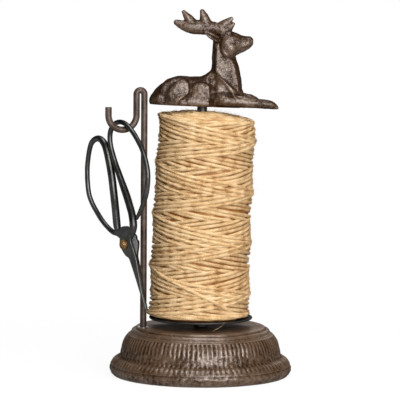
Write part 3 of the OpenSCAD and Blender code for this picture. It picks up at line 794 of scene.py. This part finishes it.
def stag_forms(bm):
    """Adds the closed forms that the stag is made of, with its own axes: ahead, to its left and up."""
    # the trunk, the neck and the head, as x, middle height, half height and half width
    trunk = [(-42.6, 2, 1.2, 4), (-40.5, 2.5, 5.2, 9), (-36, 4, 9.6, 13.5), (-29.7, 5.5, 13, 16),
             (-21, 7, 15.7, 16.5), (-10, 7.5, 15.2, 15.5), (0, 8, 15.6, 14.5), (10, 9, 16.4, 12.8),
             (20, 9, 14.6, 10.6), (27, 8.5, 11.5, 8.6), (31.3, 7.5, 7, 6), (33.2, 7, 2, 2.6)]
    sweep(bm, through([(x, 0, z, tall, wide) for x, z, tall, wide in trunk], 4), 36, way=(1, 0, 0))
    withers = [(-6, 16.5, 4, 7), (-2, 18.2, 4.8, 8), (2.4, 20, 5.8, 8.4), (6, 22.4, 6.2, 8.2), (11, 24, 5, 7)]
    sweep(bm, through([(x, 0, z, tall, wide) for x, z, tall, wide in withers], 4), 24, way=(1, 0, 0))
    neck = [(9, 17.5, 13.9, 14.6), (17, 18, 13, 13.4), (25, 17.5, 12.2, 11.6), (32, 17, 10.9, 10),
            (39, 15.5, 9.7, 8.6), (46, 14.6, 8.7, 7.8), (53, 14, 7.6, 7), (58, 14, 5.5, 5)]
    sweep(bm, through([(x, 0, z, long, wide) for z, x, long, wide in neck], 4), 36,
          way=(0, 0, 1), up=(1, 0, 0))
    head = [(11.5, 52, 4.5, 4.5), (14.5, 51, 8.4, 8.2), (19, 50.3, 9.9, 9), (24, 50, 9.3, 8),
            (28.5, 50.1, 7.4, 6.4), (32.5, 50.9, 5.9, 5.3), (36, 52, 4.6, 4.6), (38.2, 52.6, 2.2, 2.8)]
    sweep(bm, through([(x, 0, z, tall, wide) for x, z, tall, wide in head], 4), 32, way=(1, 0, 0))
    # the legs, as x, y, z, half height and half width
    near_leg = [(8, -10, 5.6, 4.8, 3.5), (18, -11.6, 5.2, 5.2, 4.4), (28, -11.8, 4.8, 4.8, 4),
                (38, -11.4, 4.4, 4.3, 3.6), (47, -11, 3.9, 3.8, 3.3), (53.5, -10.6, 3.5, 3.6, 3.5),
                (58, -10.5, 2.4, 2.4, 2.8), (60.6, -10.5, 1.1, 0.8, 1.4)]
    far_leg = [(10, 10, 7.5, 4.8, 3.5), (18, 10.8, 7.6, 5, 4), (27, 11, 7.8, 4.2, 3.6),
               (35, 11, 7.4, 3.5, 3.2), (40.5, 10.8, 6.6, 3.2, 3.2), (44.5, 10.8, 5.4, 2.2, 2.6),
               (46.6, 10.8, 4.4, 0.8, 1.4)]
    hind = [(-27, 13.6, 3.8, 3.6, 2.6), (-20, 15.4, 4, 4.2, 3.2), (-12, 15.6, 3.4, 3.9, 3.2),
            (-4, 15, 2.8, 3.4, 2.8), (2, 14.4, 2.4, 2.6, 2.4), (5.4, 14, 2, 1, 1.4)]
    for leg in (near_leg, far_leg, hind, [(x, -y, z, tall, wide) for x, y, z, tall, wide in hind]):
        sweep(bm, through(leg, 4), 20, way=(1, 0, 0))
    # each antler's beam and tines, as x, y, z and half height: they are cast flat, two thirds as wide
    beam = [(20, 4.2, 58.5, 3.6), (12, 5, 61, 4.4), (5, 5.8, 62, 5.3), (-3, 6.6, 62, 5.7),
            (-11, 7.2, 62.2, 5.6), (-17.8, 7.6, 63, 4.2), (-23.8, 8, 65, 2.2)]
    tines = [[(-8, 7.2, 62, 4.6), (-13.7, 7.5, 68.3, 3.7), (-18, 8, 73.4, 1.9)],
             [(0.8, 6.4, 63, 5.4), (-1.7, 6.8, 70, 3.8), (-3.4, 7.2, 74.8, 2)],
             [(9, 4.8, 61, 4.4), (15, 5.4, 65.6, 3.8), (20, 6.2, 70.2, 1.6)],
             [(13, 4.8, 60.2, 4), (18.4, 5.6, 63.4, 3.3), (21.4, 6.4, 66, 1.7)]]
    ear = [(12, 6, 52, 1.6), (9, 7.4, 53.4, 2.6), (4, 9.4, 56.2, 2.8), (-0.9, 10.6, 58.6, 0.8)]
    for side in (-1, 1):
        for line in [beam, ear] + tines:
            sweep(bm, through([(x, side * y, z, r, 0.66 * r) for x, y, z, r in line], 4), 16)
            x, y, z, r = line[-1]
            ball(bm, (x, side * y, z), (r, 0.66 * r, r))
        ball(bm, (-22.3, side * 10.4, 10.4), (13.4, 7.2, 10.8), -22)    # thigh
        ball(bm, (-1.5, side * 11, 9.6), (11.5, 5, 9.4), 4)             # belly
        ball(bm, (14.5, side * 9, 13), (7.5, 5.4, 11.5), 20)            # shoulder
        ball(bm, (19.5, side * 5.6, 47.4), (6, 3.8, 6.4), -18)          # cheek
        ball(bm, (21.4, side * 7.4, 53.6), (1.5, 1, 1.1), 20)           # eye


def stag_marks():
    """Lines on the stag's sides: points in its side view, how far each is raised or, below 0, pressed in, its
    half width, and how far the form on its left stands proud of that on its right."""
    return [([(-12.5, 17.4), (-12.2, 10), (-18.5, 4.6), (-20.6, 0)], 0.6, 0.8, -1.1),  # edge of the thigh
            ([(-9.8, 17), (-9.8, 9.6), (-14.5, 4.6)], -0.6, 1.8, 0),
            ([(-29.6, 1), (-28.6, 9), (-25, 15.6), (-19, 20)], -0.6, 3.2, -0.9),  # behind the thigh
            ([(5.2, 24), (6.4, 12), (6.8, 0)], -0.8, 1.6, -0.5),  # behind the shoulder
            ([(8, 46), (8.6, 29.6), (12.6, 24), (17, 18.4), (22.8, 10.6)], 0, 1.0, 2.0),  # foot of the neck
            ([(9, 9.4), (16, 10.4), (24, 9.8), (30, 8.6)], -0.8, 1.5, 0),  # over the fore leg
            ([(11.6, 54), (12, 46), (15.4, 40.2), (23.8, 39)], -1.2, 1.4, 1.5),  # behind the cheek
            ([(36.6, 49), (32.5, 47.6), (29, 47)], -0.4, 0.7, 0),  # mouth
            ([(0.4, 57.8), (4.6, 55.8), (9.5, 53.2)], -1.1, 0.9, 0),  # hollow of the ear
            ([(56.4, 0.5), (59, 2.6)], -0.8, 0.7, 0),  # cleft of the hoof
            ([(24, 54.8), (21.4, 55.6), (18.6, 55)], 0.4, 0.8, 0),  # brow
            ([(25.5, 50.6), (22, 50.8), (18.6, 51.8)], -0.35, 0.9, 0)]  # under the eye


def off_line(x, z, line):
    """How far each point lies from a line of points in the side view, and on which side: 1 is its left."""
    found = np.full(len(x), 1e9)
    side = np.zeros(len(x))
    for (ax, az), (bx, bz) in zip(line, line[1:]):
        dx, dz = bx - ax, bz - az
        t = np.clip(((x - ax) * dx + (z - az) * dz) / (dx * dx + dz * dz), 0, 1)
        off = np.hypot(x - ax - t * dx, z - az - t * dz)
        side = np.where(off < found, np.sign(dx * (z - az) - dz * (x - ax)), side)
        found = np.minimum(found, off)
    return found, side


def make_stag():
    """The stag: its forms under one skin, flattened and marked, cut flat below and bored for its socket."""
    bm = bmesh.new()
    stag_forms(bm)
    mesh = skin_over(bm, 0.62, 3)
    co = vertex_rows(mesh, "co")
    out = vertex_rows(mesh, "normal")
    # the neck is cast with a flat side up to the jaw, 10 mm out at the chest and 6.4 mm at the throat
    x, y, z = co.T
    flat = np.interp(z, [10, 25, 38, 50], [10, 8.4, 7, 6.4])
    over = np.maximum(abs(y) - flat, 0) * (x > 6) * (x < 30) * (z > 24 - (x - 12) * 0.8) * (z < 50)
    jaw = np.hypot((x - 21) / 10.5, (z - 50) / 11)
    co[:, 1] -= np.sign(y) * 0.85 * over * np.clip((jaw - 1) / 0.2, 0, 1)
    # and the trunk's sides are flattened, so that thigh and belly stand out little
    over = np.maximum(abs(y) - 13.8, 0) * np.clip((7 - x) / 4, 0, 1) * np.clip((24 - z) / 4, 0, 1)
    co[:, 1] -= np.sign(y) * 0.6 * over
    shift = np.zeros(len(co))
    for line, depth, width, step in stag_marks():
        off, side = off_line(x, z, through(line, 6))
        proud = 0.5 * step * np.tanh(side * off) * np.exp(-(off / 4.5) ** 2)
        shift += depth * np.exp(-(off / width) ** 2) + proud
    shift *= np.clip(abs(out[:, 1]) * 2.2 - 0.3, 0, 1)
    # a nostril on each side
    shift -= 0.9 * np.exp(-((x - 36.2) ** 2 + (z - 53) ** 2) / 0.7) * (abs(y) > 1)
    lumps = np.array([noise.noise(Vector(v) / 3.4) + 0.5 * noise.noise(Vector(v) / 1.5) for v in co])
    shift += 0.24 * lumps
    co += out * shift[:, None]
    mesh.vertices.foreach_set("co", co.ravel())
    bm = bmesh.new()
    bm.from_mesh(mesh)
    bpy.data.meshes.remove(mesh)
    bmesh.ops.bisect_plane(bm, geom=bm.verts[:] + bm.edges[:] + bm.faces[:], plane_co=(0, 0, -0.6),
                           plane_no=(0, 0, -1), clear_outer=True)
    bmesh.ops.holes_fill(bm, edges=[e for e in bm.edges if e.is_boundary], sides=0)
    bm.transform(STAG)
    # the hole that its socket fills
    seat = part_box("finial_socket")[1].z / mm
    mesh = bored(bm, SOCKET_R, seat - 30, seat)
    mesh.transform(Matrix.Scale(mm, 4))
    made = finish_piece("stag_casting", mesh, IRON, "finial", "cast_iron", "deer")
    keep_rub(made.data, 0.7 * mm, 14)
    # painted light and painted shade: the broad sides are made lighter and shinier as if lit from the front,
    # the edges between them darker as if turned from the light, and the antlers and fore legs darker too
    across = STAG.to_3x3() @ Vector((0, 1, 0))
    back = STAG.inverted()
    for vert, rub_and_painted_light in zip(made.data.vertices, made.data.attributes["rub_and_painted_light"].data):
        place = back @ (vert.co / mm)
        toned_down = 0.6 if place.z > 59 or (place.x > 20 and place.z < 9) else 0.7
        rub_and_painted_light.value *= toned_down * (0.2 + 0.95 * abs(vert.normal.dot(across)) ** 1.4)


make_stag()


# Scissors, drawn in their own plane from the rivet: across, up, and out towards the front half

RIVET = (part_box("scissor_rivet")[0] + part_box("scissor_rivet")[1]) / 2 / mm
SCISSORS = (Matrix.Translation(RIVET) @ Matrix.Rotation(math.radians(-60), 4, "Z")
            @ Matrix.Rotation(math.radians(90), 4, "X"))
# each bow from the rivet round and back, as across, up and the radius of the bar
FRONT_BOW = [
    (8.8, 6.1, 1.1), (10, 8.8, 1.8), (10.6, 12, 2.6), (10.8, 15.6, 3.1), (10.1, 19.9, 3.1),
    (7.9, 25.7, 3), (4.9, 31, 3), (1.5, 37.1, 3), (-1.8, 43.3, 2.9), (-5.2, 49.8, 2.7), (-8.5, 56.4, 2.5),
    (-12, 63.3, 2.3), (-15.2, 70.7, 2.2), (-17.4, 76.9, 2.1), (-18.4, 82.8, 2.1), (-17.9, 88.4, 2.1),
    (-15.5, 92.9, 2), (-11.2, 96.1, 2), (-5.4, 96.8, 2), (0.2, 94.9, 2), (6.3, 90.2, 2), (11.7, 84.2, 2),
    (16.5, 77.8, 2), (19.7, 71.6, 2), (22, 65.2, 2.1), (23.5, 58.9, 2.1), (23.7, 52.6, 2.1),
    (22.9, 45.4, 2.1), (21.2, 39, 2.1), (19.1, 32.6, 1.9), (16.8, 27, 1.7), (13.8, 21.4, 1.4)]
BACK_BOW = [
    (-11, 7.7, 1.9), (-12, 11.2, 2.7), (-12.9, 15.2, 3.1), (-13.4, 26.4, 3.1), (-13.5, 34.4, 3.1),
    (-14.3, 42.4, 3.1), (-15.6, 50.3, 3.1), (-17.3, 58.2, 3.1), (-19.4, 66.1, 3.1), (-22, 73.9, 3),
    (-24.7, 78.8, 2.9), (-28.2, 81.8, 2.7), (-32.4, 82.6, 2.5), (-36.8, 80.8, 2.3), (-40, 77.1, 2.1),
    (-42.3, 69.6, 2), (-43.7, 60.7, 2), (-43.9, 55.1, 2), (-43.6, 47.8, 2), (-42.2, 38, 2),
    (-39.6, 30.8, 2), (-35.3, 23.8, 2), (-29.4, 16.8, 2), (-22.8, 11.6, 2), (-17, 8.4, 2.1),
    (-12.7, 7.4, 1.9)]
# each blade's outline, down the right side to the point and up the left
FRONT_BLADE = [
    (7.7, 13.8), (7.1, 9.8), (7.2, 3.8), (9.6, -1.6), (11.8, -6.5), (13.9, -12.1), (15.4, -18.8),
    (17.1, -25.2), (19.3, -34.5), (21.4, -40.9), (24.1, -47.6), (25.4, -51), (23.2, -47.7), (21, -44.3),
    (18.7, -38.5), (16.3, -33.4), (13.6, -27.7), (9.8, -19.4), (6.4, -12.3), (5, -10.3), (3.2, -9.6),
    (1.2, -8.4), (-2.2, -4.8), (-4.4, -1.4), (-5, 2.5), (-4.2, 6), (-1.3, 9.5), (1.3, 11.9), (4.6, 13.9)]
BACK_BLADE = [
    (0.4, 14.5), (3.3, 13.3), (7.8, 9.6), (10.4, 7.4), (10.9, 4.9), (12.6, 3.6), (12.9, 1), (12.6, -2.1),
    (11.7, -8.2), (13, -13), (14.4, -19.3), (16, -27.1), (18, -34.8), (19.8, -41.3), (22.3, -49.6),
    (17.6, -42), (13.6, -33.7), (10, -25.2), (6.3, -16.8), (2.3, -9.1), (-1.4, -1.6), (-6.2, 3.2),
    (-10.4, 5.6), (-14.2, 6.9), (-15.2, 8.5), (-12.3, 10.5), (-8.4, 11.6), (-5.6, 13.4), (-3.2, 14.2)]
RIVET_HOLE = 2.1
BLADE_FACES = 0.05, 2.45   # each blade's inner and outer face, off the plane between the two


def plate(bm, outline, low, high):
    """Adds a flat plate between two depths, with a hole for the rivet and its edges eased."""
    rim = [bm.verts.new((a, u, low)) for a, u in outline]
    edges = [bm.edges.new((a, b)) for a, b in zip(rim, rim[1:] + rim[:1])]
    hole = bmesh.ops.create_circle(bm, segments=32, radius=RIVET_HOLE, matrix=Matrix.Translation((0, 0, low)))
    edges += list({edge for vert in hole["verts"] for edge in vert.link_edges})
    sheet = bmesh.ops.triangle_fill(bm, edges=edges, use_beauty=True)
    faces = [f for f in sheet["geom"] if isinstance(f, bmesh.types.BMFace)]
    raised = bmesh.ops.extrude_face_region(bm, geom=faces)
    far = [v for v in raised["geom"] if isinstance(v, bmesh.types.BMVert)]
    bmesh.ops.translate(bm, vec=(0, 0, high - low), verts=far)
    bmesh.ops.recalc_face_normals(bm, faces=bm.faces[:])
    sharp = [e for e in bm.edges if e.calc_face_angle(0) > 1 and min(v.co.xy.length for v in e.verts) > 2.5
             and abs(e.verts[0].co.z - e.verts[1].co.z) < 0.1]
    bmesh.ops.bevel(bm, geom=sharp, offset=0.4, segments=2, profile=0.5, affect="EDGES", material=-1)


def make_half(side, bow, blade, body, node):
    """One half of the scissors, in front of the plane between them or, with side as -1, behind it."""
    end = "front" if side > 0 else "back"
    bm = bmesh.new()
    path = through([(a, u, side * 2.7 * (1 - ease(15, 42, u)), r, r) for a, u, r in bow], 4)
    sweep(bm, path, 20)
    bmesh.ops.recalc_face_normals(bm, faces=bm.faces[:])
    bm.transform(SCISSORS)
    piece("scissor_bow_" + end, bm, FORGED, body, "forged_steel", node)
    bm = bmesh.new()
    low, high = sorted(side * face for face in BLADE_FACES)
    plate(bm, [tuple(p) for p in through(blade + blade[:1], 3)[:-1]], low, high)
    bm.transform(SCISSORS)
    made = piece("scissor_blade_" + end, bm, FORGED, body, "forged_steel", smooth=False)
    # bare steel: the back blade's inner face, and the front one's right edge, where the wheel eased it
    inside = SCISSORS.inverted()
    bare = made.data.attributes.new("ground", "FLOAT", "FACE").data
    for face in made.data.polygons:
        across, _, out = inside.to_3x3() @ face.normal
        right, up, _ = inside @ (face.center / mm)
        if side < 0:
            bare[face.index].value = float(out > 0.9 and right > 5 and up < 9)
        elif across > 0.3 and up < 8:
            bare[face.index].value = 0.7 if out > 0.25 else 0.12 * (1 - ease(-24, -10, up))


make_half(1, FRONT_BOW, FRONT_BLADE, "scissors", "scissor_front")
make_half(-1, BACK_BOW, BACK_BLADE, "scissors_other_half", "scissor_back")


# Stage

SPOOL_MIDDLE = Vector((0, 0, 0.14))
ROOM = 0.018             # how bright the room is to what the object scatters


def place_floor():
    """A white floor that shows only a faint shadow round the foot."""
    bm = bmesh.new()
    bmesh.ops.create_circle(bm, cap_ends=True, segments=96, radius=4.0)
    floor = hold("floor", bm)
    made, tree, shader, place = new_material("pale floor", Roughness=0.9)
    ray = add(tree, "LightPath").outputs
    # what the floor throws back on the object is kept low, as from a grey table
    tone = add(tree, "Mix", {"Factor": ray["Is Diffuse Ray"], "A": linear("#f4f4f2"), "B": linear("#5c5a58")},
               data_type="RGBA")
    paint(tree, shader, tone.outputs["Result"])
    seen = most(tree, most(tree, ray["Is Camera Ray"], ray["Is Glossy Ray"]), ray["Is Transmission Ray"])
    # the shadow is kept near the foot and fades to plain white by 0.4 m
    away = add(tree, "VectorMath", {0: place}, operation="LENGTH").outputs["Value"]
    share = plus(tree, seen, ranged(tree, away, 0.09, 0.4, 0.9, 1.0), 0.0)
    white = add(tree, "Emission", {"Color": (1, 1, 1, 1), "Strength": 1.0})
    cover(tree, share, shader.outputs["BSDF"], white.outputs[0])
    floor.data.materials.append(made)


def place_world():
    """White to the camera. Shiny faces see it white only behind the object, and dim on the camera's side."""
    world = bpy.data.worlds.new("studio")
    scene.world = world
    world.use_nodes = True
    tree = world.node_tree
    ray = add(tree, "LightPath").outputs
    behind = (-math.cos(FRONT), -math.sin(FRONT), 0)
    way = add(tree, "TexCoord").outputs["Generated"]
    facing = add(tree, "VectorMath", {0: way, 1: behind}, operation="DOT_PRODUCT").outputs["Value"]
    backdrop = ranged(tree, facing, 0.55, 0.95, 0.12, 1.0)
    mirrored = plus(tree, most(tree, ray["Is Glossy Ray"], ray["Is Transmission Ray"]), backdrop, 0.0)
    level = ranged(tree, most(tree, ray["Is Camera Ray"], mirrored), 0.0, 1.0, ROOM, 1.0)
    background = tree.nodes["Background"].inputs
    background["Color"].default_value = (1, 1, 1, 1)
    tree.links.new(level, background["Strength"])


def place_lamp(name, turn, height, distance, size, power):
    """A soft square lamp, turned so far to the right of the camera, that looks at the middle of the spool."""
    lamp = bpy.data.lights.new(name, "AREA")
    lamp.size = size
    lamp.energy = power
    made = bpy.data.objects.new(name, lamp)
    scene.collection.objects.link(made)
    angle = FRONT + math.radians(turn)
    place = Vector((distance * math.cos(angle), distance * math.sin(angle), height))
    aim = (place - SPOOL_MIDDLE).to_track_quat("Z", "Y").to_matrix().to_4x4()
    made.matrix_world = Matrix.Translation(place) @ aim


place_floor()
place_world()
place_lamp("key", turn=15, height=0.52, distance=1.7, size=1.4, power=53)
place_lamp("top", turn=10, height=1.9, distance=0.4, size=1.0, power=26)
place_lamp("back", turn=170, height=1.0, distance=1.6, size=1.2, power=8)
scene.view_settings.view_transform = "Standard"
